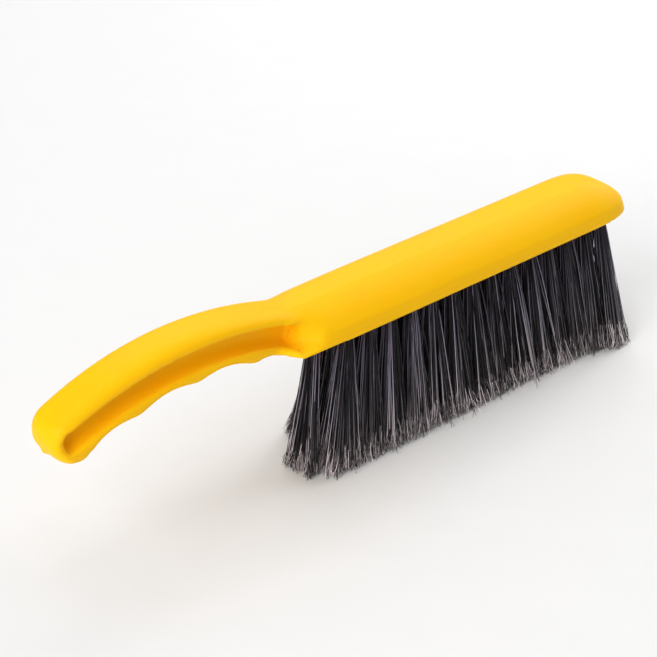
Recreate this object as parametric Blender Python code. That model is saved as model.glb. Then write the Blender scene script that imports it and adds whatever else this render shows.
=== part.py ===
# Counter brush: a moulded block with its handle in one piece, and tufts of filament set in its underside.
# Lengths are in metres. The brush stands on its bristle tips, with +Z up and the block running along +X.
# While it is modelled, x is 0 where the handle meets the block, and z is 0 at the block's underside.

import math

import bmesh
import bpy
from mathutils import Matrix, Vector

# Block
block_length = 0.2032
block_width = 0.0400
block_height = 0.0168
wall_height = 0.0062
wall_draft = 0.0014
crown_strip_width = 0.0110
shoulder_bulge = 0.0016
shoulder_steps = 6
far_end_length = 0.0340
far_end_squareness = 3.2
far_end_steps = 18
far_end_slope_share = 1.60
near_taper = 0.0011
near_taper_length = 0.0600
near_taper_steps = 6
neck_flare_length = 0.0068
neck_flare_power = 1.25
neck_flare_steps = 6
neck_corner_x = 0.0006

# Handle: a thick arc with a round end, drawn in side view
handle_reach = 0.1143
handle_width = 0.0210
grip_outer_radius = 0.1646
grip_depth = 0.0198
grip_swell = 0.0011
grip_swell_power = 1.5
heel_swell = 0.0012
grip_apex_height = 0.0238
grip_apex_back = 0.0450
handle_crown_drop = 0.0047
handle_crown_flat_share = 0.35
crown_edge_share = 0.80
foot_edge_share = 0.85
handle_level_shares = (0.30, 0.55, 0.75, 0.90)
handle_foot_round = 0.0014
foot_fade_share = 0.22
foot_floor = 0.0002
handle_inset = 0.0100
heel_fade_share = 0.15
end_wrap_power = 4.0
end_tuck = 0.0012
end_tuck_power = 4
arc_steps = 34
end_steps = 12
foot_steps = 56

# Finger grooves along the handle's lower edge
groove_depth = 0.0022
groove_pitch = 0.0281
groove_fullness = 1.15
groove_start_share = 0.04
first_ridge_back = 0.0181

# Pockets that core out both sides of the handle and run into the block
top_flange = 0.0044
pocket_height = 0.0101
web_thickness = 0.0050
pocket_fillet = 0.0022
pocket_fillet_depth_share = 0.35
pocket_fillet_rise_share = 0.30
pocket_end_wall = 0.0036
pocket_run_in = 0.0085
pocket_mouth_flare = 0.0060
pocket_floor_height = 0.0017
pocket_draft = 0.0004
pocket_end_steps = 8
pocket_arc_steps = 24
pocket_flare_steps = 5

# Tufts: three rows of holes in a square pattern, the middle row one longer
tuft_pitch = 0.0119
row_spacing = 0.0070
outer_row_count = 14
last_tuft_margin = 0.0145
hole_diameter = 0.0050
hole_depth = 0.0127
hole_sides = 10
plug_clearance = 0.0003
hole_tilt_share = 0.5
trim_length = 0.0635
tip_cut = 0.0005
strand_count = 9
strand_root_inset = 0.00016
root_centre_share = 0.60
strand_stages_shares = ((0.50, 0.40, 0.80), (1.0, 1.0, 0.80))
fan_radius = 0.0052
inner_fan_share = 0.45
flare_centre_share = 0.43
flare_to_handle = 0.0100
flare_to_far_end = 0.0045
flare_across = 0.0090
first_tuft_splay = 0.0030
far_end_splay = 0.0075
far_end_splay_start = 0.60

overrun = 0.0010
merge_distance = 0.000001


def clear_scene():
    for old in list(bpy.data.objects):
        bpy.data.objects.remove(old, do_unlink=True)


def make_material(name, red, green, blue, roughness, metallic=0.0):
    material = bpy.data.materials.new(name)
    material.use_nodes = True
    shader = material.node_tree.nodes["Principled BSDF"]
    shader.inputs["Base Color"].default_value = (red, green, blue, 1.0)
    shader.inputs["Roughness"].default_value = roughness
    shader.inputs["Metallic"].default_value = metallic
    material.diffuse_color = (red, green, blue, 1.0)
    return material


def make_object(name, bm, material=None, smooth_angle=math.radians(30)):
    bmesh.ops.remove_doubles(bm, verts=bm.verts, dist=merge_distance)
    bmesh.ops.recalc_face_normals(bm, faces=bm.faces)
    mesh = bpy.data.meshes.new(name)
    bm.to_mesh(mesh)
    bm.free()
    mesh.shade_smooth()
    mesh.set_sharp_from_angle(angle=smooth_angle)
    made = bpy.data.objects.new(name, mesh)
    bpy.context.collection.objects.link(made)
    if material:
        mesh.materials.append(material)
    return made


def make_cutter(name, bm):
    cutter = make_object(name, bm)
    cutter.hide_render = True
    cutter.display_type = "WIRE"
    return cutter


def add_boolean(target, cutter, operation):
    modifier = target.modifiers.new(cutter.name, "BOOLEAN")
    modifier.object = cutter
    modifier.operation = operation
    modifier.solver = "EXACT"


def edge_loop(bm, points):
    """The edges of a closed loop through the points."""
    ring = [bm.verts.new(point) for point in points]
    return [bm.edges.new((ring[i - 1], ring[i])) for i in range(len(ring))]


def bridge_and_cap(bm, loops):
    """Bridge each loop to the next, and close both ends."""
    for first, second in zip(loops, loops[1:]):
        bmesh.ops.bridge_loops(bm, edges=first + second)
    for loop in (loops[0], loops[-1]):
        bmesh.ops.edgenet_fill(bm, edges=loop)


# Block: plan outlines that draw in as they rise, bridged one to the next
def plan_side(steps):
    """One long side of the plan, from the handle's end to the far end's middle, as (x, half width)."""
    half_width = block_width / 2
    points = []
    for step in range(-2, near_taper_steps):
        x = near_taper_length * step / near_taper_steps
        points.append((x, half_width - near_taper * (1 - step / near_taper_steps) ** 2))
    start = block_length - far_end_length
    for step in range(steps):
        turn = math.pi / 2 * step / steps
        along = math.sin(turn) ** (2 / far_end_squareness)
        across = math.cos(turn) ** (2 / far_end_squareness)
        points.append((start + far_end_length * along, half_width * across))
    points.append((block_length, 0))
    return points


def plan_ring(inset):
    """The closed plan outline drawn in by inset at the sides, and by more at the far end."""
    side = plan_side(far_end_steps)
    start = block_length - far_end_length
    end_share = 1 - inset * far_end_slope_share / far_end_length
    width_share = 1 - inset / (block_width / 2)
    drawn = []
    for x, half_width in side:
        if x > start:
            drawn.append((start + (x - start) * end_share, half_width * width_share))
        else:
            drawn.append((x, half_width - inset))
    return [(x, -y) for x, y in drawn] + [(x, y) for x, y in reversed(drawn[:-1])]


def shoulder_profile():
    """(inset, height) pairs, up the drafted wall and over the bulging shoulder to the crown strip."""
    rise = block_height - wall_height
    run = (block_width - crown_strip_width) / 2 - wall_draft
    slope = math.hypot(rise, run)
    profile = [(0, 0)]
    for step in range(shoulder_steps + 1):
        share = step / shoulder_steps
        bulge = 4 * shoulder_bulge * share * (1 - share)
        inset = wall_draft + run * share - bulge * rise / slope
        profile.append((inset, wall_height + rise * share + bulge * run / slope))
    return profile


def block_loaf():
    bm = bmesh.new()
    loops = []
    for inset, height in shoulder_profile():
        loops.append(edge_loop(bm, [(x, y, height) for x, y in plan_ring(inset)]))
    bridge_and_cap(bm, loops)
    return make_object("block_loaf", bm)


def neck_guide():
    """A prism whose plan flares from the handle's sides out to the block's corners."""
    half_width = block_width / 2 + overrun
    start_width = handle_width / 2 - overrun / 2
    corner_width = block_width / 2 - near_taper
    outline = []
    for step in range(neck_flare_steps + 1):
        share = step / neck_flare_steps
        x = neck_corner_x - neck_flare_length * (1 - share)
        outline.append((x, start_width + (corner_width - start_width) * share**neck_flare_power))
    outline.append((neck_corner_x + overrun, half_width))
    outline.append((block_length + overrun, half_width))
    ring = [(x, -y) for x, y in outline] + [(x, y) for x, y in reversed(outline)]
    bm = bmesh.new()
    loops = [edge_loop(bm, [(x, y, z) for x, y in ring]) for z in (-overrun, block_height + overrun)]
    bridge_and_cap(bm, loops)
    return make_cutter("neck_guide", bm)


# Handle: side-view outlines at several depths from the middle plane, bridged one to the next
grip_centre_x = -grip_apex_back
grip_centre_z = grip_apex_height - grip_outer_radius
grip_inner_radius = grip_outer_radius - grip_depth
end_radius = (grip_depth + heel_swell) / 2
end_path_radius = grip_outer_radius - end_radius
end_angle = math.asin((handle_reach - end_radius - grip_apex_back) / end_path_radius)


def grip_point(angle, radius):
    """A point at an angle left of the apex, about the centre that the whole grip curves round."""
    return (grip_centre_x - radius * math.sin(angle), grip_centre_z + radius * math.cos(angle))


def groove_lift(angle):
    """How far a finger groove lifts the lower edge at this angle."""
    back = first_ridge_back - grip_apex_back
    ridge_angle = math.asin(back / grip_inner_radius)
    turns = (angle - ridge_angle) * grip_inner_radius / groove_pitch
    return groove_depth * abs(math.sin(math.pi * turns)) ** groove_fullness


def grip_outline(crown_drop, foot_drop):
    """Side-view outline, drawn in by crown_drop along the top and by foot_drop along the foot."""
    block_angle = -math.asin((grip_apex_back + handle_inset) / grip_outer_radius)
    outline = []
    for step in range(arc_steps + 1):
        share = step / arc_steps
        angle = block_angle + (end_angle - block_angle) * share
        swell = grip_swell * math.sin(math.pi * share**grip_swell_power)
        outline.append(grip_point(angle, grip_outer_radius + swell - crown_drop))
    tip_x, tip_z = grip_point(end_angle, end_path_radius)
    # The tuck draws the round end in where it faces down and back
    for step in range(1, end_steps):
        share = step / end_steps
        turn = end_angle + math.pi * share
        radius = end_radius - crown_drop + (crown_drop - foot_drop) * share**end_wrap_power
        radius -= end_tuck * math.sin(math.pi * share) ** end_tuck_power
        outline.append((tip_x - radius * math.sin(turn), tip_z + radius * math.cos(turn)))
    for step in range(foot_steps + 1):
        angle = end_angle + (block_angle - end_angle) * step / foot_steps
        fade = min(1, (foot_steps - step) / (foot_steps * foot_fade_share))
        lift = groove_lift(angle) * math.sin(math.pi / 2 * min(1, step / (foot_steps * groove_start_share)))
        heel = heel_swell * max(0, 1 - step / (foot_steps * heel_fade_share)) ** 2
        x, z = grip_point(angle, grip_inner_radius - heel + foot_drop * fade**2 + lift)
        if x > grip_centre_x:
            z = max(z, foot_drop * fade**2 + foot_floor)
        outline.append((x, z))
    return outline


def handle_levels():
    """(depth from the middle plane, crown drop, foot drop) from the crown's flat to the side face."""
    half_width = handle_width / 2
    flat = half_width * handle_crown_flat_share
    levels = [(flat, 0, 0)]
    for share in handle_level_shares:
        depth = flat + (half_width - flat) * share
        drop = handle_crown_drop * (1 - math.sqrt(1 - share**2))
        near_edge = max(0, depth - (half_width - handle_foot_round)) / handle_foot_round
        foot = handle_foot_round * (1 - math.sqrt(1 - near_edge**2))
        levels.append((depth, drop, foot))
    levels.append((half_width, handle_crown_drop * crown_edge_share, handle_foot_round * foot_edge_share))
    return levels


def handle_solid():
    bm = bmesh.new()
    far = handle_levels()
    near = [(-depth, crown, foot) for depth, crown, foot in reversed(far)]
    loops = []
    for depth, crown, foot in near + far:
        loops.append(edge_loop(bm, [(x, depth, z) for x, z in grip_outline(crown, foot)]))
    bridge_and_cap(bm, loops)
    return make_cutter("handle_solid", bm)


# Pockets: cutters of the same side-view arcs, run through the block's corner
def pocket_outline(shrink, run):
    """Side-view outline of a pocket, drawn in by shrink all round, with its inner end at run."""
    outer = grip_outer_radius - top_flange - shrink
    inner = grip_outer_radius - top_flange - pocket_height + shrink
    middle = (outer + inner) / 2
    end_x = handle_reach - pocket_end_wall - pocket_height / 2 - grip_apex_back
    far_angle = math.asin(end_x / middle)
    floor = pocket_floor_height + shrink
    _, roof = grip_point(-math.asin((grip_apex_back + run) / outer), outer)
    nose = (roof - floor) / 2
    near_angle = -math.asin((grip_apex_back + run - shrink - nose) / outer)
    outline = []
    for step in range(pocket_arc_steps + 1):
        angle = near_angle + (far_angle - near_angle) * step / pocket_arc_steps
        outline.append(grip_point(angle, outer))
    tip_x, tip_z = grip_point(far_angle, middle)
    radius = (outer - inner) / 2
    for step in range(1, pocket_end_steps):
        turn = far_angle + math.pi * step / pocket_end_steps
        outline.append((tip_x - radius * math.sin(turn), tip_z + radius * math.cos(turn)))
    for step in range(pocket_arc_steps + 1):
        angle = far_angle + (near_angle - far_angle) * step / pocket_arc_steps
        x, z = grip_point(angle, inner)
        x = min(x, run - shrink - nose)
        if x > grip_centre_x:
            z = max(z, floor)
        outline.append((x, z))
    last_x, last_z = outline[-1]
    first_x, first_z = outline[0]
    for step in range(1, pocket_end_steps):
        turn = math.pi * step / pocket_end_steps
        middle_z = last_z + (first_z - last_z) * (1 - math.cos(turn)) / 2
        outline.append((last_x + nose * math.sin(turn), middle_z))
    return outline


def pocket_cutter(side):
    bm = bmesh.new()
    web_face = web_thickness / 2
    mouth = block_width / 2 + overrun
    edge = web_face + pocket_fillet
    sections = []
    for step in range(pocket_flare_steps, -1, -1):
        share = step / pocket_flare_steps
        run = pocket_run_in + pocket_mouth_flare * (1 - math.sqrt(1 - share**2))
        sections.append((edge + (mouth - edge) * share, pocket_draft * (1 - share), run))
    turn_depth = web_face + pocket_fillet * pocket_fillet_depth_share
    turn_shrink = pocket_draft + pocket_fillet * pocket_fillet_rise_share
    sections.append((turn_depth, turn_shrink, pocket_run_in))
    sections.append((web_face, pocket_draft + pocket_fillet, pocket_run_in))
    loops = []
    for depth, shrink, run in sections:
        outline = pocket_outline(shrink, run)
        loops.append(edge_loop(bm, [(x, side * depth, z) for x, z in outline]))
    bridge_and_cap(bm, loops)
    return make_cutter("pocket_cutter_near" if side < 0 else "pocket_cutter_far", bm)


# Tufts: where each one stands, and how it leans
class Tuft:
    """One tuft: its name, the centre of its hole's mouth, and its lean at the trimmed tips."""

    def __init__(self, name, x, y, number):
        self.name = name
        row_length = tuft_pitch * (outer_row_count - 1)
        last_x = block_length - last_tuft_margin
        middle = last_x - row_length * (1 - flare_centre_share)
        side = 0 if y == 0 else math.copysign(1, y)
        across = side * flare_across
        if x < middle:
            along = -flare_to_handle * (middle - x) / (row_length * flare_centre_share)
        else:
            share = (x - middle) / (last_x - middle)
            along = flare_to_far_end * math.sin(math.pi * share)
            splay = max(0, share - far_end_splay_start) / (1 - far_end_splay_start)
            across += side * far_end_splay * splay**2
        if number == 1 and side == 0:
            along -= first_tuft_splay
            across -= first_tuft_splay
        self.mouth = Vector((x, y, 0))
        self.lean = Vector((along, across, -trim_length))
        axis = Vector((-along * hole_tilt_share, -across * hole_tilt_share, trim_length))
        turn = Vector((0, 0, 1)).rotation_difference(axis).to_matrix().to_4x4()
        self.place = Matrix.Translation(self.mouth) @ turn


def tuft_rows():
    tufts = []
    last_x = block_length - last_tuft_margin
    rows = [("near", -row_spacing, outer_row_count)]
    rows += [("middle", 0, outer_row_count + 1), ("far", row_spacing, outer_row_count)]
    for row, y, count in rows:
        for number in range(1, count + 1):
            x = last_x - tuft_pitch * (count - number)
            tufts.append(Tuft("tuft_%s_%02d" % (row, number), x, y, number))
    return tufts


def hole_cutters(tufts):
    bm = bmesh.new()
    for tuft in tufts:
        bottom = tuft.place @ Matrix.Translation((0, 0, (hole_depth - overrun) / 2))
        bmesh.ops.create_cone(
            bm,
            cap_ends=True,
            segments=hole_sides,
            radius1=hole_diameter / 2,
            radius2=hole_diameter / 2,
            depth=hole_depth + overrun,
            matrix=bottom,
        )
    return make_cutter("hole_cutters", bm)


plug_radius = hole_diameter / 2 - plug_clearance
plug_length = hole_depth - plug_clearance


def strand_spread(direction):
    """How far out the tip of a strand lands, from its direction round the tuft."""
    wedge = 2 * math.pi / strand_count
    index = round(math.atan2(direction.y, direction.x) / wedge - 0.5) % strand_count
    return fan_radius * (inner_fan_share if index % 3 == 1 else 1)


def grow_strands(bm, tuft, roots):
    """Extrude each root triangle twice, out to its bend and on past the trimmed tips."""
    root_radius = plug_radius * root_centre_share
    past_tips = 1 + tip_cut / trim_length
    for reach, spread_share, thin in strand_stages_shares:
        ends = []
        for face in bmesh.ops.extrude_discrete_faces(bm, faces=roots)["faces"]:
            middle = face.calc_center_median()
            away = middle - tuft.mouth - tuft.lean * (-middle.z / trim_length)
            direction = Vector((away.x, away.y, 0)).normalized()
            radius = root_radius + (strand_spread(direction) - root_radius) * spread_share
            goal = tuft.mouth + tuft.lean * reach * past_tips + direction * radius
            for vert in face.verts:
                vert.co = goal + (vert.co - middle) * thin
            ends.append(face)
        roots = ends


def tuft_object(tuft, material):
    bm = bmesh.new()
    quarter_turn = Matrix.Rotation(-math.pi / 2, 4, "Z")
    bmesh.ops.create_cone(
        bm,
        cap_ends=True,
        cap_tris=True,
        segments=strand_count,
        radius1=plug_radius,
        radius2=plug_radius,
        depth=plug_length,
        matrix=tuft.place @ Matrix.Translation((0, 0, plug_length / 2)) @ quarter_turn,
    )
    downwards = -1 / math.sqrt(2)
    roots = [face for face in bm.faces if face.normal.z < downwards]
    bmesh.ops.inset_individual(bm, faces=roots, thickness=strand_root_inset, use_even_offset=True)
    grow_strands(bm, tuft, roots)
    bmesh.ops.bisect_plane(
        bm,
        geom=bm.verts[:] + bm.edges[:] + bm.faces[:],
        plane_co=(0, 0, -trim_length),
        plane_no=(0, 0, -1),
        clear_outer=True,
    )
    cut = [edge for edge in bm.edges if edge.is_boundary]
    bmesh.ops.holes_fill(bm, edges=cut, sides=0)
    return make_object(tuft.name, bm, material)


def stand_on_tips(pieces):
    """Hang everything on an empty that puts the origin under the middle of the whole brush."""
    depsgraph = bpy.context.evaluated_depsgraph_get()
    corners = [corner for piece in pieces for corner in piece.evaluated_get(depsgraph).bound_box]
    low = [min(corner[axis] for corner in corners) for axis in range(3)]
    high = [max(corner[axis] for corner in corners) for axis in range(3)]
    stand = bpy.data.objects.new("stand", None)
    bpy.context.collection.objects.link(stand)
    stand.location = (-(low[0] + high[0]) / 2, -(low[1] + high[1]) / 2, -low[2])
    for made in bpy.data.objects:
        if made is not stand:
            made.parent = stand


def build():
    clear_scene()
    yellow = make_material("yellow polypropylene", 0.96, 0.63, 0.005, 0.38)
    filament = make_material("grey filament", 0.055, 0.050, 0.062, 0.45)
    tufts = tuft_rows()

    body = block_loaf()
    body.name = "body"
    body.data.materials.append(yellow)
    add_boolean(body, neck_guide(), "INTERSECT")
    add_boolean(body, handle_solid(), "UNION")
    for side in (-1, 1):
        add_boolean(body, pocket_cutter(side), "DIFFERENCE")
    add_boolean(body, hole_cutters(tufts), "DIFFERENCE")

    for tuft in tufts:
        tuft_object(tuft, filament)

    stand_on_tips([made for made in bpy.data.objects if not made.hide_render])


build()
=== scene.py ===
# %% [markdown]
# # A counter brush, dressed for a studio photograph
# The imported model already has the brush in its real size: one moulded body and 43 tufts as simple
# solids. This lesson keeps that frame, gives the moulding its soft edges and its finish, grows real
# bristles out of every hole, and sets up a plain floor, soft light and a long lens.

# %% Load the fixed frame
import math
import random

import bmesh
import bpy
from mathutils import Matrix, Vector


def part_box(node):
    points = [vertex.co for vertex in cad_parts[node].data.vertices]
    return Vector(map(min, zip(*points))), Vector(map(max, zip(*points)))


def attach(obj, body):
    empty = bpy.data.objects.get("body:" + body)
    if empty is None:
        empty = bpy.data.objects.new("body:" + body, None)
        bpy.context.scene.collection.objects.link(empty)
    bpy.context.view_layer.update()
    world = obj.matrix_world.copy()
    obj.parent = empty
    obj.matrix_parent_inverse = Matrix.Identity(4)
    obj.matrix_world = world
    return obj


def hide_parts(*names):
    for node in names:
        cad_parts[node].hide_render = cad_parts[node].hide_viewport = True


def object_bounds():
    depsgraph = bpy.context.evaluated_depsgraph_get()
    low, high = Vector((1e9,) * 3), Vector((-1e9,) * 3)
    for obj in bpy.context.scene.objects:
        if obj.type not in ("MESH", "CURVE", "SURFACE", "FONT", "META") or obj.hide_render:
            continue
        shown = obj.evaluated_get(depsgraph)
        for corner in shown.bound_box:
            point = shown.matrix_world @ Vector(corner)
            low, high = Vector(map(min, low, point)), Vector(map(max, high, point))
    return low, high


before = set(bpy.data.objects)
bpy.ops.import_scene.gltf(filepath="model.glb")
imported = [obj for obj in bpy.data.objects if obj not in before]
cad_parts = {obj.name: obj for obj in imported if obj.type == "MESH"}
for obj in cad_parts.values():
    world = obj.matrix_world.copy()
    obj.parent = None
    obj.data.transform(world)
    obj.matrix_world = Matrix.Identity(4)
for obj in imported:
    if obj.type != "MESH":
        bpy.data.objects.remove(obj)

MM = 0.001
cad_low, cad_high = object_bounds()
print("CAD box, mm:", [round(side / MM, 1) for side in cad_high - cad_low])

# %% [markdown]
# Everything is placed from two landmarks of the frame: the point where the handle joins the block,
# at the height of the block's underside, and the body's own box. Measuring them from the packed
# body means that nothing here has to be fitted by eye, and a longer block would carry its details
# along.

# %% Landmarks
BLOCK_LENGTH = 203.2 * MM
TRIM_LENGTH = 63.5 * MM

body_low, body_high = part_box("body")
neck = Vector((body_high.x - BLOCK_LENGTH, (body_low.y + body_high.y) / 2, TRIM_LENGTH))
print("Neck at, mm:", [round(value / MM, 1) for value in neck])


def from_neck(x, y, z):
    """A point given in millimetres from the neck: along the block, across it and upwards."""
    return neck + Vector((x, y, z)) * MM


# %% [markdown]
# Each packed tuft says where its bristles belong. Its top face is the fold at the blind end of the
# hole, the ring at the block's underside is the mouth, and its cut ends are the trimmed tips. The
# middle of each gives three points, and the new bristles follow them, so they stay with the solid
# that they replace.

# %% The line of a tuft
LEVEL_BAND = 1.2 * MM
TIP_BAND = 0.2 * MM


def middle_of(points):
    """The mean of a list of points."""
    return sum(points, Vector()) / len(points)


def tuft_line(node):
    """The middles of a packed tuft's fold, mouth and trimmed tips."""
    points = [vert.co.copy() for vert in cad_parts[node].data.vertices]
    top = max(point.z for point in points)
    fold = middle_of([point for point in points if point.z > top - LEVEL_BAND])
    mouth = middle_of([point for point in points if abs(point.z - TRIM_LENGTH) < LEVEL_BAND])
    tips = middle_of([point for point in points if point.z < TIP_BAND])
    return fold, mouth, tips


tuft_nodes = sorted(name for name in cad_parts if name.startswith("tuft_"))
for node in tuft_nodes[:2]:
    print(node, [[round(value / MM, 1) for value in point] for point in tuft_line(node)])

# %% [markdown]
# Finishes come next. Each one is a Principled shader with procedural nodes around it. Colours are
# written as the hex values that a picture shows, so one function turns them into the linear values
# that a shader wants, and one small function adds a node with its settings and links.

# %% Helpers for finishes
def linear(hex_colour):
    """An sRGB hex colour as linear red, green, blue and alpha."""
    channels = [int(hex_colour[i : i + 2], 16) / 255 for i in (1, 3, 5)]
    return tuple(c / 12.92 if c <= 0.04045 else ((c + 0.055) / 1.055) ** 2.4 for c in channels) + (1.0,)


def new_finish(name):
    """A new material, with its shader and its node tree."""
    material = bpy.data.materials.new(name)
    material.use_nodes = True
    return material, material.node_tree.nodes["Principled BSDF"], material.node_tree


def add_node(tree, kind, output, settings=None, inputs=None):
    """Adds one node, with its settings and its inputs, and returns the named output.

    An input is given a plain value, or the output of another node to link from. Some nodes
    have several sockets of one name, of which only one is switched on.
    """
    node = tree.nodes.new(kind)
    for name, value in (settings or {}).items():
        setattr(node, name, value)
    for name, value in (inputs or {}).items():
        socket = next(s for s in node.inputs if s.name == name and s.enabled)
        if isinstance(value, bpy.types.NodeSocket):
            tree.links.new(value, socket)
        else:
            socket.default_value = value
    return next(s for s in node.outputs if s.name == output and s.enabled)


print("Yellow in linear light:", [round(c, 3) for c in linear("#FFCB05")])

# %% [markdown]
# The body is polypropylene, injection moulded in one shot and coloured right through. Polypropylene
# is a waxy, slightly translucent plastic: light goes a millimetre or two into it and comes out
# warmer, which softens its edges and turns its hollows orange. The mould leaves a satin surface,
# with very slow waves where the thick block cooled and sank, and a fine orange peel. The waves are
# about 25 mm long and the peel's grains 1.2 mm.

# %% Finish: moulded yellow polypropylene
yellow, shader, tree = new_finish("satin_moulded_polypropylene")
place = add_node(tree, "ShaderNodeTexCoord", "Object")

SINK_WAVE = 25 * MM
PEEL_GRAIN = 1.2 * MM
POLYPROPYLENE_IOR = 1.49
waves = add_node(
    tree, "ShaderNodeTexNoise", "Fac", inputs={"Vector": place, "Scale": 1 / SINK_WAVE, "Detail": 2.0}
)
peel = add_node(
    tree, "ShaderNodeTexNoise", "Fac", inputs={"Vector": place, "Scale": 1 / PEEL_GRAIN, "Detail": 3.0}
)
tint = add_node(
    tree,
    "ShaderNodeMix",
    "Result",
    settings={"data_type": "RGBA"},
    inputs={"Factor": waves, "A": linear("#FFBD0C"), "B": linear("#FFC50C")},
)
gloss = add_node(
    tree,
    "ShaderNodeMapRange",
    "Result",
    inputs={"Value": waves, "From Min": 0.35, "From Max": 0.65, "To Min": 0.40, "To Max": 0.50},
)
slow_bump = add_node(
    tree,
    "ShaderNodeBump",
    "Normal",
    inputs={"Height": waves, "Strength": 0.25, "Distance": 1.0 * MM},
)
fine_bump = add_node(
    tree,
    "ShaderNodeBump",
    "Normal",
    inputs={"Height": peel, "Strength": 0.08, "Distance": 0.1 * MM, "Normal": slow_bump},
)
tree.links.new(tint, shader.inputs["Base Color"])
tree.links.new(gloss, shader.inputs["Roughness"])
tree.links.new(fine_bump, shader.inputs["Normal"])
shader.inputs["IOR"].default_value = POLYPROPYLENE_IOR
shader.inputs["Specular IOR Level"].default_value = 0.08
shader.inputs["Subsurface Weight"].default_value = 0.25
shader.inputs["Subsurface Radius"].default_value = (1.0, 0.45, 0.05)
shader.inputs["Subsurface Scale"].default_value = 3.0 * MM
print("Finish ready:", yellow.name)

# %% [markdown]
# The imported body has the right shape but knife-sharp edges, which no moulding has. A bevel would
# trip over the many small faces that its cuts left, so the edges are rounded the way a worn mould
# rounds them: a copy is rebuilt on an even grid and relaxed a little. What the grid has to fuse to
# the body goes in first, as the stub that the mould's gate left under the handle's end.

# %% Piece: the gate stub
MERGE_REACH = 0.002 * MM
GATE_RADIUS = 2.0 * MM
GATE_TIP_RADIUS = 1.4 * MM
GATE_HEIGHT = 3.0 * MM
GATE_PLACE = from_neck(-109.9, 2.5, -5.0)
GATE_AIM = Vector((-0.67, 0, -0.74))

moulding = bmesh.new()
moulding.from_mesh(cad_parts["body"].data)
bmesh.ops.remove_doubles(moulding, verts=moulding.verts, dist=MERGE_REACH)

gate_turn = GATE_AIM.to_track_quat("Z", "Y").to_matrix().to_4x4()
bmesh.ops.create_cone(
    moulding,
    cap_ends=True,
    segments=24,
    radius1=GATE_RADIUS,
    radius2=GATE_TIP_RADIUS,
    depth=GATE_HEIGHT,
    matrix=Matrix.Translation(GATE_PLACE) @ gate_turn,
)
print("Faces with the gate stub:", len(moulding.faces))

# %% [markdown]
# A short plug goes to the blind end of each bristle hole, where it is never seen. Under the rounded
# far end the skin over a hole is thinner than a cell of the grid, which would leave a pinhole
# there.

# %% Pieces: the plugs in the holes
PLUG_RADIUS = 2.4 * MM
PLUG_LENGTH = 5.0 * MM

for node in tuft_nodes:
    hole_end, _, _ = tuft_line(node)
    bmesh.ops.create_cone(
        moulding,
        cap_ends=True,
        segments=16,
        radius1=PLUG_RADIUS,
        radius2=PLUG_RADIUS,
        depth=PLUG_LENGTH,
        matrix=Matrix.Translation(hole_end - Vector((0, 0, PLUG_LENGTH / 2))),
    )
print("Faces before the even grid:", len(moulding.faces))

# %% [markdown]
# The grid's cells are 0.72 mm wide. Relaxed, it leaves about 0.7 mm of radius on every edge, and
# the flat faces as they were. The rebuilt mesh is stored as a plain mesh, not as a live modifier,
# so that every later step sees the same surface. Relaxing is a plain bmesh operator that moves each
# point towards the middle of its neighbours.

# %% Piece: the soft-edged moulding
def finish_piece(name, bm, material):
    """Makes a bmesh into a smooth-shaded object at the origin."""
    mesh = bpy.data.meshes.new(name)
    bm.to_mesh(mesh)
    bm.free()
    mesh.shade_smooth()
    mesh.materials.append(material)
    piece = bpy.data.objects.new(name, mesh)
    bpy.context.scene.collection.objects.link(piece)
    return piece


CELL = 0.72 * MM
RELAX_ROUNDS = 4
RELAX_FACTOR = 0.5

rough_body = finish_piece("moulded_body_rough", moulding, yellow)
grid = rough_body.modifiers.new("even grid", "REMESH")
grid.mode = "VOXEL"
grid.voxel_size = CELL
bpy.context.view_layer.update()
rebuilt = rough_body.evaluated_get(bpy.context.evaluated_depsgraph_get()).to_mesh()
relaxed = bmesh.new()
relaxed.from_mesh(rebuilt)
bpy.data.objects.remove(rough_body)


def relax(points, rounds):
    """Moves the points towards the middles of their neighbours, some rounds over."""
    for _ in range(rounds):
        bmesh.ops.smooth_vert(
            relaxed,
            verts=points,
            factor=RELAX_FACTOR,
            use_axis_x=True,
            use_axis_y=True,
            use_axis_z=True,
        )


relax(list(relaxed.verts), RELAX_ROUNDS)
print("Points on the even grid:", len(relaxed.verts))

# %% [markdown]
# The finger hollows run a little way into the block and end in a round cove on its shoulder. Every
# point that stands inside an upright, slightly tapered post beside the shoulder is pushed straight
# out to the post's wall, as a thumb would press clay. The post fades out towards the underside and
# the handle. At the handle's other end the hollow's end wall is brought in, so that the loop there
# is thicker. The values of this cell are plain millimetres from the neck.

# %% Piece: the coves behind the neck
COVE_AXIS = Vector((2.5, 19.5))
COVE_RADIUS = 10.0
COVE_TAPER = 1 / 14
COVE_BOTTOM = 0.8
COVE_BOTTOM_FADE = 2.2
COVE_BACK = -1.0
COVE_BACK_FADE = 3.0
LOOP_FROM = -101.0
LOOP_HALF_WIDTH = 9.6
LOOP_THICKER = 2.4


def ease(value):
    """A soft step from 0 to 1."""
    value = max(0.0, min(1.0, value))
    return value * value * (3 - 2 * value)


def cove_radius(along, up):
    """The radius of the post at a height, faded out towards the underside and the handle."""
    above = ease((up - COVE_BOTTOM) / COVE_BOTTOM_FADE)
    ahead = ease((along - COVE_BACK) / COVE_BACK_FADE)
    return (COVE_RADIUS - COVE_TAPER * up) * above * ahead


relaxed.normal_update()
pushed = 0
for vert in relaxed.verts:
    along, across, up = (vert.co - neck) / MM
    side, across = math.copysign(1, across), abs(across)
    outwards = Vector((along, across)) - COVE_AXIS
    radius = cove_radius(along, up)
    if 0 < outwards.length < radius:
        along, across = COVE_AXIS + outwards.normalized() * radius
        pushed += 1
    if along < LOOP_FROM and across < LOOP_HALF_WIDTH:
        along += LOOP_THICKER * max(0, vert.normal.x)
    vert.co = from_neck(along, side * across, up)
print("Points pushed out by the coves:", pushed)

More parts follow.
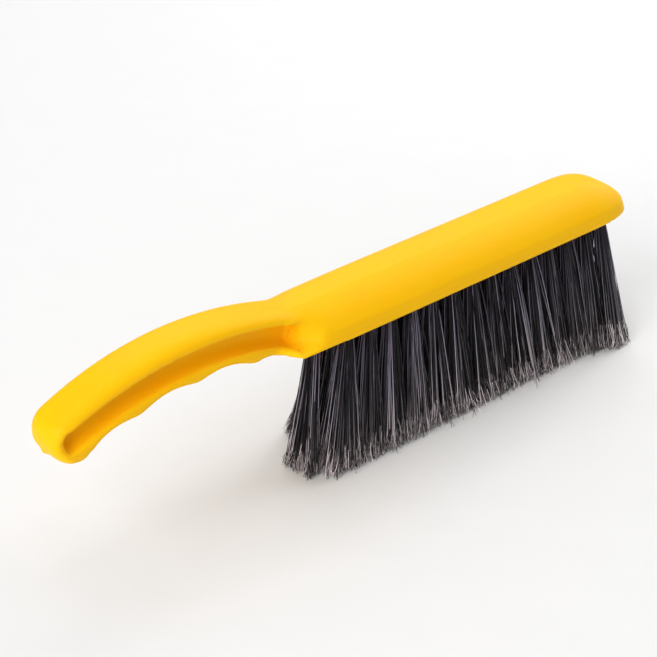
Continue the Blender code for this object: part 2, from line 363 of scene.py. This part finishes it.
# %% [markdown]
# A thick handle is moulded with generous radii inside its hollows, because molten plastic flows
# badly round a sharp inner corner. Those are made by relaxing chosen points for longer: first the
# whole handle but for its underside, where the finger grooves keep their crests, then every hollow
# of the handle and the shoulders. A point is in a hollow where the middle of its neighbours lies
# outside the surface. The gate stub is left out.

# %% Piece: the radii in the hollows
KEPT_REACH = 3.2 * MM
SHOULDER_LENGTH = 14 * MM
FACING_DOWN = -0.3
HANDLE_ROUNDS = 15
HOLLOW_ROUNDS = 14
HOLLOW_PASSES = 2


def within(place, reach, point):
    """True where a point is nearer to a place than the reach."""
    return (point - place).length < reach


def is_hollow(vert):
    """True where the surface is dished at this point."""
    around = [edge.other_vert(vert).co for edge in vert.link_edges]
    return (middle_of(around) - vert.co).dot(vert.normal) > 0


free = [v for v in relaxed.verts if not within(GATE_PLACE, KEPT_REACH, v.co)]
handle_points = [v for v in free if v.co.x < neck.x + SHOULDER_LENGTH]
relaxed.normal_update()
relax([v for v in handle_points if v.co.x < neck.x and v.normal.z > FACING_DOWN], HANDLE_ROUNDS)
for _ in range(HOLLOW_PASSES):
    relaxed.normal_update()
    hollows = [v for v in handle_points if is_hollow(v)]
    relax(hollows, HOLLOW_ROUNDS)
print("Points in the hollows:", len(hollows))

# %% [markdown]
# A few places are eased once more, on both sides: the rims of the coves, the ends of the upper
# flange beside them, the far ends of the hollows, and the lower corners of the handle's end. So is
# the underside of the neck, where the last finger groove runs out without a crest. Each row gives a
# place and a reach in millimetres, the number of rounds, and the height below which all stays as it
# is.

# %% Piece: the softest places
FLAT_RIM = TRIM_LENGTH + MM
EASED = [
    ((11.0, 17.0, 6.5), 8.5, 62, FLAT_RIM),
    ((9.0, 13.0, 11.0), 6.5, 62, FLAT_RIM),
    ((3.0, 11.5, 12.5), 4.0, 10, FLAT_RIM),
    ((6.0, 12.5, 11.5), 3.5, 28, FLAT_RIM),
    ((-109.0, 7.0, 3.0), 6.0, 21, FLAT_RIM),
    ((-101.0, 9.8, -7.0), 4.5, 17, 0),
]
NECK_UNDER = from_neck(-8.7, 0, 4.5)
NECK_REACH = 6 * MM
NECK_ROUNDS = 12

for (along, across, up), reach, rounds, lowest in EASED:
    for side in (-1, 1):
        place = from_neck(along, side * across, up)
        relax([v for v in free if v.co.z > lowest and within(place, reach * MM, v.co)], rounds)
under = [v for v in free if v.co.z < NECK_UNDER.z and abs(v.co.x - NECK_UNDER.x) < NECK_REACH]
relax(under, NECK_ROUNDS)
moulded_body = finish_piece("moulded_body", relaxed, yellow)
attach(moulded_body, "root")
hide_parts("body")
print("Faces in the moulding:", len(moulded_body.data.polygons))

# %% [markdown]
# A small leaning rib stands in each hollow near the neck, where the mould's slide was vented. It is
# finer than the grid's cells, so it is a piece of its own: a cube drawn out, with its edges
# bevelled.

# %% Pieces: the recess ribs
RIB_SIZE = (0.7 * MM, 1.8 * MM, 3.0 * MM)
RIB_PLACE = (3.7, 3.8, 5.2)
RIB_LEAN = math.radians(18)
RIB_BEVEL = 0.2 * MM

ribs = bmesh.new()
rib_along, rib_across, rib_up = RIB_PLACE
for side in (-1, 1):
    place = Matrix.Translation(from_neck(rib_along, side * rib_across, rib_up))
    lean = Matrix.Rotation(RIB_LEAN, 4, "Y")
    bmesh.ops.create_cube(ribs, size=1.0, matrix=place @ lean @ Matrix.Diagonal(RIB_SIZE + (1.0,)))
bmesh.ops.bevel(
    ribs,
    geom=ribs.edges[:],
    affect="EDGES",
    offset=RIB_BEVEL,
    segments=2,
    profile=0.5,
    material=-1,
)
recess_ribs = finish_piece("recess_ribs", ribs, yellow)
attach(recess_ribs, "root")
print("Faces in the ribs:", len(recess_ribs.data.polygons))

# %% [markdown]
# The filament is dark grey polypropylene, drawn into strands about half a millimetre thick, crimped
# slightly so that the tufts stay open, and flagged: the ends are split into finer hairs, which
# scatter light and look dusty. Every strand carries two numbers on its points, how far along it
# they are and its painted shading, and the finish reads them as attributes, because an object-
# space pattern can't follow a bending hair. The colour along a strand is painted darker at the
# roots, as painted shadow under the block and between the tufts. The painted shading multiplies
# it: a few strands are painted light as painted highlights, and most are painted dark as painted
# shadow between the strands.

# %% Finish: crimped and flagged filament
filament, shader, tree = new_finish("drawn_grey_filament")
along = add_node(tree, "ShaderNodeAttribute", "Fac", settings={"attribute_name": "along"})
# The second attribute is painted shading: painted highlights on some strands and painted shadow between
# the others.
painted_shading = add_node(tree, "ShaderNodeAttribute", "Fac", settings={"attribute_name": "painted_shading"})

MAIN_END = 0.85
# Colours along a strand: the dark stops at the roots are painted shadow under the block and between the
# tufts; the pale end is the flagged hairs' own paleness.
COLOURS_ALONG_WITH_PAINTED_ROOT_SHADOW = (
    (0.04, "#2C2834"),
    (0.25, "#3C3842"),
    (0.50, "#454248"),
    (MAIN_END, "#5E5759"),
    (1.0, "#A1989A"),
)
strand_colour_with_painted_root_shadow = add_node(tree, "ShaderNodeValToRGB", "Color", inputs={"Fac": along})
stops = strand_colour_with_painted_root_shadow.node.color_ramp.elements
while len(stops) < len(COLOURS_ALONG_WITH_PAINTED_ROOT_SHADOW):
    stops.new(0.5)
for stop, (share, colour) in zip(stops, COLOURS_ALONG_WITH_PAINTED_ROOT_SHADOW):
    stop.position = share
    stop.color = linear(colour)

# The colour is multiplied by the strand's painted shading, so the light strands are painted highlights
# and the dark ones painted shadow.
strand_tint_with_painted_shading = add_node(
    tree,
    "ShaderNodeMix",
    "Result",
    settings={"data_type": "RGBA", "blend_type": "MULTIPLY"},
    inputs={"Factor": 1.0, "A": strand_colour_with_painted_root_shadow, "B": painted_shading},
)
matt_ends = add_node(
    tree,
    "ShaderNodeMapRange",
    "Result",
    inputs={"Value": along, "From Min": MAIN_END, "From Max": 1.0, "To Min": 0.38, "To Max": 0.62},
)
tree.links.new(strand_tint_with_painted_shading, shader.inputs["Base Color"])
tree.links.new(matt_ends, shader.inputs["Roughness"])
shader.inputs["IOR"].default_value = POLYPROPYLENE_IOR
shader.inputs["Specular IOR Level"].default_value = 0.2
print("Finish ready:", filament.name)

# %% [markdown]
# A strand starts at its own place in the bundle, spaced evenly by the golden angle as seeds are in
# a sunflower. Where it belongs in the fan follows from that place. The fans are spread square, so
# that they meet and the trim is one straight edge. The tufts at the handle's end lean back. There
# the fans of the near row are filled out between the tufts, and those of the other rows, at the
# corner behind, are kept narrow towards the handle.

# %% The shape of a fan
STRANDS = 140
GOLDEN_ANGLE = math.pi * (3 - math.sqrt(5))
FAN_ALONG = 7.2 * MM
FAN_OUTWARDS = 5.6 * MM
FAN_INWARDS = 9.0 * MM
FAN_FILL = 11.0 * MM
FAN_BACK = 1.5 * MM
FAN_FAR = 3.4 * MM
FAN_CORNER = 12.0 * MM
LEANING = 9.0 * MM


def round_the_clock(turn):
    """A level vector of length 1, turned by an angle."""
    return Vector((math.cos(turn), math.sin(turn), 0))


def is_corner(mouth, tips):
    """True for a tuft that leans back and isn't in the near row."""
    return (mouth - tips).x > LEANING and tips.y > -FAN_INWARDS


def fan_offset(out, mouth, tips):
    """How far from the middle of the trimmed tips a strand ends, on the side that out points to."""
    at_corner = is_corner(mouth, tips)
    along = FAN_ALONG
    if (mouth - tips).x > LEANING and out.x < 0:
        along = FAN_BACK if at_corner else FAN_FILL
    leans_out = out.y * tips.y > 0 and abs(tips.y) > FAN_INWARDS
    across = FAN_OUTWARDS if leans_out else FAN_CORNER if at_corner else FAN_INWARDS
    if at_corner and out.y > 0:
        across = FAN_FAR
    square = out * (out.length / max(abs(out.x), abs(out.y)))
    return Vector((square.x * along, square.y * across, 0))


leaning = [node for node in tuft_nodes if is_corner(*tuft_line(node)[1:])]
print("Tufts at the corner behind:", leaning)

# %% [markdown]
# The strand leaves the hole along the hole's axis, bends over to its place in the fan, and has a
# crimp of a fraction of a millimetre. One strand in seven crosses the bundle, and one in twenty is
# a stray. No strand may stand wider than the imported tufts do, or reach under the floor.

# %% The path of a strand
BUNDLE_RADIUS = 2.15 * MM
FOLD_DROP = 0.25
CROSSING_SHARE = 0.14
STRAY_SHARE = 0.05
STRAY_SCATTER = 4.5 * MM
FAN_SCATTER = 0.8 * MM
UNEVEN_TRIM = 0.8 * MM
BEND = (0.65, 1.2)
CORNER_BEND = (1.0, 1.5)
CRIMP = 0.14 * MM
CRIMP_SHARES = (0.3, 1.6)
CRIMP_WAVES = (1.2, 3.0)
CRIMP_START = 0.25
# Painted shading for the strands: the high values are painted highlights, the low ones painted shadow
# between the strands.
PAINTED_SHADINGS = (0.06, 0.08, 0.13, 0.32, 0.8, 1.9, 4.0, 7.0)
SIDE_LIMIT = cad_high.y + 0.5 * MM
BACK_LIMIT = from_neck(-1.5, 0, 0).x
FRONT_LIMIT = from_neck(193.5, 0, 0).x
FULL_TURN = 2 * math.pi


def inside_trim(point):
    """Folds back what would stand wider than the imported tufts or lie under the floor."""
    if abs(point.y) > SIDE_LIMIT:
        point.y = math.copysign(2 * SIDE_LIMIT - abs(point.y), point.y)
    if point.x > FRONT_LIMIT:
        point.x = 2 * FRONT_LIMIT - point.x
    if point.x < BACK_LIMIT:
        point.x = 2 * BACK_LIMIT - point.x
    point.z = max(cad_low.z, point.z)
    return point


class Strand:
    """One filament: its start in the bundle, its tip, its crimp and its painted shading, light as a
    painted highlight, dark as painted shadow.
    """

    def __init__(self, number, line, chance):
        fold, mouth, tips = line
        out = round_the_clock(number * GOLDEN_ANGLE) * math.sqrt((number + 0.5) / STRANDS)
        self.fold = fold.lerp(mouth, FOLD_DROP) + out * BUNDLE_RADIUS
        self.mouth = mouth + out * BUNDLE_RADIUS
        if chance.random() < CROSSING_SHARE:
            out = round_the_clock(chance.uniform(0, FULL_TURN)) * math.sqrt(chance.random())
        is_stray = chance.random() < STRAY_SHARE
        scatter = STRAY_SCATTER if is_stray else FAN_SCATTER
        wander_along, wander_across = chance.gauss(0, scatter), chance.gauss(0, scatter)
        wander = Vector((wander_along, wander_across, abs(chance.gauss(0, UNEVEN_TRIM))))
        at_corner = is_corner(mouth, tips)
        if at_corner and not is_stray:
            wander.x = max(wander.x, -FAN_SCATTER)
        tip = inside_trim(tips + fan_offset(out, mouth, tips) + wander)
        self.axis = (mouth - fold).normalized() * (mouth - tips).length
        self.lean = tip - self.mouth - self.axis
        self.bend = chance.uniform(*CORNER_BEND) if at_corner else chance.uniform(*BEND)
        crimp_way = round_the_clock(chance.uniform(0, FULL_TURN))
        self.crimp = crimp_way * chance.uniform(*CRIMP_SHARES) * CRIMP
        self.waves = chance.uniform(*CRIMP_WAVES)
        self.phase = chance.uniform(0, FULL_TURN)
        # The strand's painted shading, picked at random from painted highlights and painted shadows.
        self.painted_shading = chance.choice(PAINTED_SHADINGS)

    def point(self, share):
        """The strand's middle line at a share of its way from the mouth to the tip."""
        crimp = self.crimp * math.sin(self.phase + self.waves * FULL_TURN * share)
        crimp *= min(1, share / CRIMP_START)
        return inside_trim(self.mouth + self.axis * share + self.lean * share**self.bend + crimp)


sample = Strand(40, tuft_line("tuft_near_07"), random.Random(7))
print("One strand, mm:", [[round(c / MM, 1) for c in sample.point(share)] for share in (0, 0.5, 1)])

# %% [markdown]
# A strand is a thin three-sided stub in the hole, extruded again and again along its path. All the
# strands of a tuft are extruded at once, one level at a time. A whole number stored on each face
# says which strand it belongs to, because extruding gives the new faces back in an order of its
# own.

# %% Growing a bundle
STRAND_SIDES = 3
STRAND_RADIUS = 0.24 * MM
LEVELS = (0.06, 0.16, 0.28, 0.40, 0.52, 0.64, 0.76, 0.88, 0.95, 1.0)


def grow(bm, paths, radii, marks):
    """Extrudes one stub for each path through the path's points, then leaves it capped."""
    stubs = []
    for number, (points, alongs, painted_shading_value) in enumerate(paths):
        made = bmesh.ops.create_cone(
            bm, cap_ends=True, segments=STRAND_SIDES, radius1=radii[0], radius2=radii[0], depth=MM
        )
        faces = {face for vert in made["verts"] for face in vert.link_faces}
        ends = [face for face in faces if len(face.verts) == STRAND_SIDES]
        lower_end = min(ends, key=lambda face: face.normal.z)
        lower_end[marks["strand"]] = number
        stubs.append(lower_end)
        for vert in made["verts"]:
            level = 1 if vert.co.z < 0 else 0
            vert.co = points[level] + Vector((vert.co.x, vert.co.y, 0))
            vert[marks["along"]] = alongs[level]
            vert[marks["painted_shading"]] = painted_shading_value
    for level in range(2, len(radii)):
        stubs = bmesh.ops.extrude_discrete_faces(bm, faces=stubs)["faces"]
        for face in stubs:
            points, alongs, painted_shading_value = paths[face[marks["strand"]]]
            centre = middle_of([vert.co for vert in face.verts])
            for vert in face.verts:
                vert.co = points[level] + (vert.co - centre) * (radii[level] / radii[level - 1])
                vert[marks["along"]] = alongs[level]
                vert[marks["painted_shading"]] = painted_shading_value


def strand_paths(line, chance):
    """The main strands of a tuft, and for each its points, its along values and its painted shading."""
    strands = [Strand(number, line, chance) for number in range(STRANDS)]
    paths = []
    for strand in strands:
        points = [strand.fold, strand.mouth] + [strand.point(share) for share in LEVELS]
        alongs = [0.0, 0.0] + [share * MAIN_END for share in LEVELS]
        paths.append((points, alongs, strand.painted_shading))
    return strands, paths


print("Faces in a strand:", STRAND_SIDES * (len(LEVELS) + 1) + 2)

# %% [markdown]
# Flagging is made the same way: three finer hairs leave each strand some millimetres above its end
# and curl outwards. They start inside the strand, so no gap shows where they split off.

# %% Flagged ends
FLAGS = 3
FLAG_RADIUS = 0.16 * MM
FLAG_START = (0.80, 0.92)
FLAG_CURL = 1.8 * MM
FLAG_CURL_POWER = 1.4
FLAG_HOOK = 0.9 * MM
FLAG_PALENESS = 0.3
FLAG_STEPS = (0.0, 0.3, 0.6, 0.85, 1.0)
# Painted shading for the fine hairs: painted highlights and painted shadow on the flagged ends.
FLAG_PAINTED_SHADINGS = (0.1, 0.3, 0.9, 2.2, 3.6)


def flag_paths(strands, chance):
    """The fine split hairs at the end of each strand."""
    paths = []
    for strand in strands:
        for _ in range(FLAGS):
            start = chance.uniform(*FLAG_START)
            curl = round_the_clock(chance.uniform(0, FULL_TURN)) * abs(chance.gauss(0, FLAG_CURL))
            hook = round_the_clock(chance.uniform(0, FULL_TURN)) * chance.uniform(0, FLAG_HOOK)
            rise = Vector((0, 0, chance.uniform(0, FLAG_CURL)))
            points, alongs = [], []
            for gone in FLAG_STEPS:
                bent = curl * gone**FLAG_CURL_POWER + hook * math.sin(math.pi * gone) + rise * gone**2
                points.append(inside_trim(strand.point(start + (1 - start) * gone) + bent))
                paleness = FLAG_PALENESS + (1 - FLAG_PALENESS) * gone
                alongs.append(MAIN_END + (1 - MAIN_END) * paleness)
            paths.append((points, alongs, chance.choice(FLAG_PAINTED_SHADINGS)))
    return paths


print("Fine hairs in a tuft:", STRANDS * FLAGS)

# %% [markdown]
# Now every packed tuft gets its bundle. Each bundle is one object with the tuft's own name in it,
# it rides on the body, and it takes the place of the simple solid in the picture. Strands and hairs
# get thinner towards their ends. The random numbers are seeded with the tuft's place in the list,
# so the brush comes out the same each time.

# %% Pieces: the bristles
THIN_FROM = 0.88
THIN_END = 0.5


def thinned(radius, fade):
    """A strand's radius, where fade goes from 0 to 1 at its thin end."""
    return radius * (1 - (1 - THIN_END) * fade)


MAIN_FADES = [max(0, (level - THIN_FROM) / (1 - THIN_FROM)) for level in LEVELS]
MAIN_RADII = [STRAND_RADIUS, STRAND_RADIUS] + [thinned(STRAND_RADIUS, fade) for fade in MAIN_FADES]
FLAG_RADII = [thinned(FLAG_RADIUS, gone) for gone in FLAG_STEPS]

for seed, node in enumerate(tuft_nodes):
    chance = random.Random(seed)
    bundle = bmesh.new()
    # The marks hold how far along each point is, its painted shading, and which strand a face belongs
    # to.
    marks = {
        "along": bundle.verts.layers.float.new("along"),
        "painted_shading": bundle.verts.layers.float.new("painted_shading"),
        "strand": bundle.faces.layers.int.new("strand"),
    }
    strands, paths = strand_paths(tuft_line(node), chance)
    grow(bundle, paths, MAIN_RADII, marks)
    grow(bundle, flag_paths(strands, chance), FLAG_RADII, marks)
    for vert in bundle.verts:
        vert.co.z = max(vert.co.z, cad_low.z)
    bristles = finish_piece(node.replace("tuft", "bristles"), bundle, filament)
    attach(bristles, "root")
    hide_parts(node)
print("Bundles:", len(tuft_nodes), "with", len(bristles.data.polygons), "faces each")

# %% [markdown]
# The stage is a plain, pale floor, large enough that its edge is never in view.

# %% Stage: the floor
floor_finish, shader, tree = new_finish("matt_white_floor")
place = add_node(tree, "ShaderNodeTexCoord", "Object")
PAPER_CLOUD = 25 * MM
paper = add_node(
    tree, "ShaderNodeTexNoise", "Fac", inputs={"Vector": place, "Scale": 1 / PAPER_CLOUD, "Detail": 2.0}
)
paper_tint = add_node(
    tree,
    "ShaderNodeMix",
    "Result",
    settings={"data_type": "RGBA"},
    inputs={"Factor": paper, "A": linear("#E6E6E6"), "B": linear("#E9E9E9")},
)
tree.links.new(paper_tint, shader.inputs["Base Color"])
shader.inputs["Roughness"].default_value = 0.9
shader.inputs["Specular IOR Level"].default_value = 0.2

FLOOR_SIZE = 6.0
slab = bmesh.new()
bmesh.ops.create_grid(slab, x_segments=1, y_segments=1, size=FLOOR_SIZE / 2)
floor = finish_piece("floor", slab, floor_finish)
print("Floor ready")

# %% [markdown]
# The light is that of a light tent: five large soft panels round the brush and a faint white
# surround. The panel on the handle's side is the strongest, so the slopes that face it are the
# brightest yellow. Each row gives a panel's name, its angle round the brush and its height above
# the horizon in degrees, its distance and width in metres, and its power in watts.

# %% Light
LIGHT_AIM = Vector((0, 0, 60 * MM))
TENT_STRENGTH = 0.15
PANELS = [
    ("left_panel", -76, 28, 1.6, 1.2, 21),
    ("right_panel", 92, 33, 1.6, 1.2, 17),
    ("back_panel", 145, 38, 1.8, 1.2, 9),
    ("top_panel", 180, 78, 1.8, 1.4, 9),
    ("front_panel", -42, 14, 1.8, 1.2, 4.5),
]


def way_to(azimuth, elevation):
    """The direction from the brush to a place given by two angles in degrees."""
    turn, tilt = math.radians(azimuth), math.radians(elevation)
    return Vector((math.sin(turn) * math.cos(tilt), -math.cos(turn) * math.cos(tilt), math.sin(tilt)))


for name, azimuth, elevation, distance, width, power in PANELS:
    light = bpy.data.lights.new(name, "AREA")
    light.size = width
    light.energy = power
    panel = bpy.data.objects.new(name, light)
    way = way_to(azimuth, elevation)
    panel.location = LIGHT_AIM + way * distance
    panel.rotation_euler = way.to_track_quat("Z", "Y").to_euler()
    bpy.context.scene.collection.objects.link(panel)

world = bpy.data.worlds.new("light_tent")
world.use_nodes = True
world.node_tree.nodes["Background"].inputs["Color"].default_value = linear("#FFFFFF")
world.node_tree.nodes["Background"].inputs["Strength"].default_value = TENT_STRENGTH
bpy.context.scene.world = world
bpy.context.scene.view_settings.view_transform = "Standard"

# %% [markdown]
# The photograph was taken with a long lens from above the handle's side. The camera's place is
# given by the angle round the brush, the height above the horizon, the distance, and the point that
# it looks at.

# %% Camera
VIEW_AZIMUTH = -41.15
VIEW_ELEVATION = 30.45
VIEW_DISTANCE = 785.9 * MM
SENSOR_WIDTH = 36
FOCAL_LENGTH = 105.6
NEAREST_SEEN = 10 * MM
LOOK_AT = from_neck(18.8, -12.5, 5.0)

back = way_to(VIEW_AZIMUTH, VIEW_ELEVATION)
lens = bpy.data.cameras.new("camera")
lens.sensor_width = SENSOR_WIDTH
lens.lens = FOCAL_LENGTH
lens.clip_start = NEAREST_SEEN
camera = bpy.data.objects.new("camera", lens)
camera.location = LOOK_AT + back * VIEW_DISTANCE
camera.rotation_euler = back.to_track_quat("Z", "Y").to_euler()
bpy.context.scene.collection.objects.link(camera)
bpy.context.scene.camera = camera
print("Camera at:", [round(value, 3) for value in camera.location])
